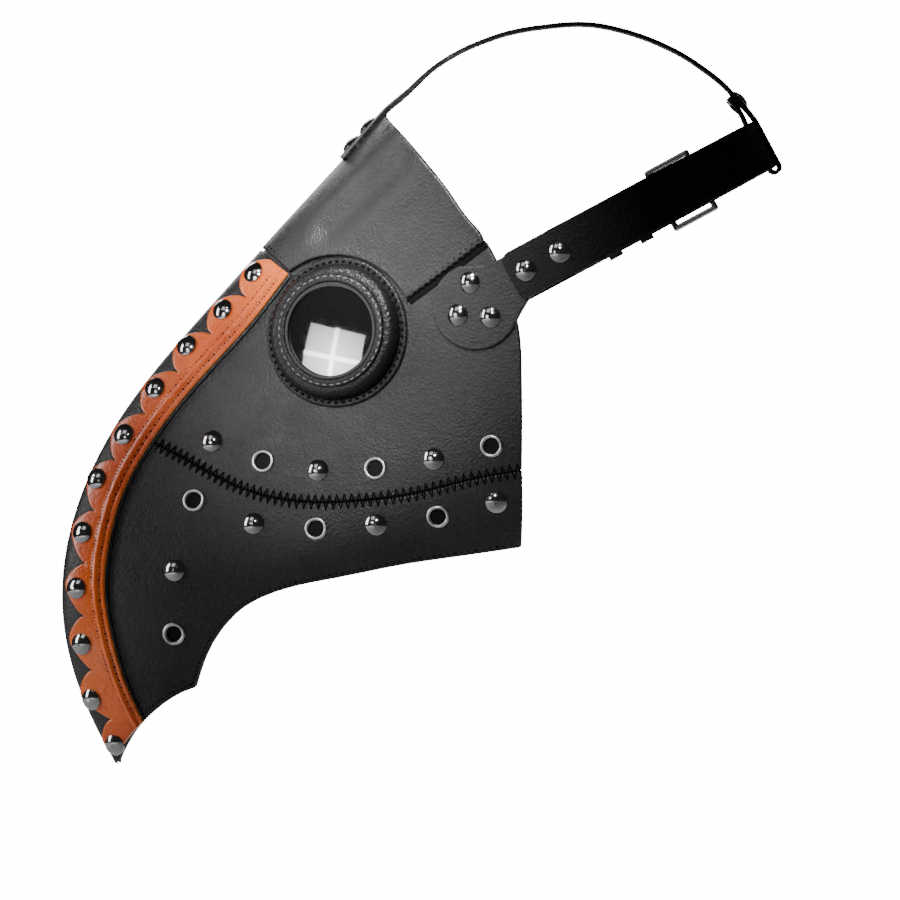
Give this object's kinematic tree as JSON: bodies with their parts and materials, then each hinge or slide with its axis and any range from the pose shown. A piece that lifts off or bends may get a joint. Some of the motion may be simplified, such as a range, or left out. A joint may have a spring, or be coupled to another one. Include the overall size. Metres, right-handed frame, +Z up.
{
  "type": "plague doctor mask",
  "caption": "Beaked leather costume mask with goggle eyepieces, scalloped ridge trim, dome studs, vent eyelets and an adjustable buckled head harness.",
  "frame": {"origin": "on the centre plane, level with the centres of the eyepieces, in the plane of the side panels' rear edges, where the wearer's temples are", "axes": "+Z up as worn, +Y back through the wearer's head, the beak points along -Y, +X to the wearer's left"},
  "size_m": [0.172, 0.3598, 0.3718],
  "materials": {
    "black_leather": "semi-gloss, fine grain",
    "strap_leather": "semi-gloss",
    "tan_leather": "gloss",
    "lining_cloth": "matt brushed knit",
    "gunmetal": "polished gunmetal plate",
    "buckle_steel": "polished",
    "black_plastic": "gloss",
    "lens": "gloss, smoked"
  },
  "bodies": {
    "mask": {"eye_flange_L": "black_leather", "eye_flange_R": "black_leather", "eye_lip_L": "black_leather", "eye_lip_R": "black_leather", "eye_padding_L": "black_leather", "eye_padding_R": "black_leather", "eyelet_washers_L": "gunmetal", "eyelet_washers_R": "gunmetal", "fixed_keeper": "strap_leather", "forehead_lining": "lining_cloth", "forehead_panel": "black_leather", "lens_L": "lens", "lens_R": "lens", "lens_bezel_L": "black_plastic", "lens_bezel_R": "black_plastic", "lens_seat_L": "black_plastic", "lens_seat_R": "black_plastic", "lower_side_panel_L": "black_leather", "lower_side_panel_R": "black_leather", "panel_rivet_backs_L": "gunmetal", "panel_rivet_backs_R": "gunmetal", "panel_rivets_L": "gunmetal", "panel_rivets_R": "gunmetal", "ridge_band": "black_leather", "scalloped_trim_L": "tan_leather", "scalloped_trim_R": "tan_leather", "side_lining_L": "lining_cloth", "side_lining_R": "lining_cloth", "strap_left": "strap_leather", "strap_right": "strap_leather", "strap_rivet_backs_L": "gunmetal", "strap_rivet_backs_R": "gunmetal", "strap_rivets_L": "gunmetal", "strap_rivets_R": "gunmetal", "strap_tab_L": "strap_leather", "strap_tab_R": "strap_leather", "tab_rivets_L": "gunmetal", "tab_rivets_R": "gunmetal", "top_strap": "strap_leather", "top_strap_rivet_backs": "gunmetal", "top_strap_rivets": "gunmetal", "trim_rivet_backs_L": "gunmetal", "trim_rivet_backs_R": "gunmetal", "trim_rivets_L": "gunmetal", "trim_rivets_R": "gunmetal", "upper_side_panel_L": "black_leather", "upper_side_panel_R": "black_leather", "vent_eyelets_L": "gunmetal", "vent_eyelets_R": "gunmetal", "vent_screens_L": "gunmetal", "vent_screens_R": "gunmetal"},
    "buckle_frame": {"buckle_frame": "buckle_steel"},
    "buckle_prong": {"buckle_prong": "buckle_steel"},
    "sliding_keeper": {"sliding_keeper": "strap_leather"}
  },
  "joints": [
    {"name": "buckle_frame_pivot", "type": "hinge", "parent": "mask", "child": "buckle_frame", "pos_m": [-0.07471, 0.07168, 0.06749], "axis": [0, -0.4741, 0.8805], "range_deg": [0, 12]},
    {"name": "prong_pivot", "type": "hinge", "parent": "buckle_frame", "child": "buckle_prong", "pos_m": [-0.07471, 0.07168, 0.06749], "axis": [0, -0.4741, 0.8805], "range_deg": [0, 12]},
    {"name": "keeper_slide", "type": "slide", "parent": "mask", "child": "sliding_keeper", "axis": [0.0565, -0.8791, -0.4733], "range_m": [-0.004, 0.012]}
  ]
}
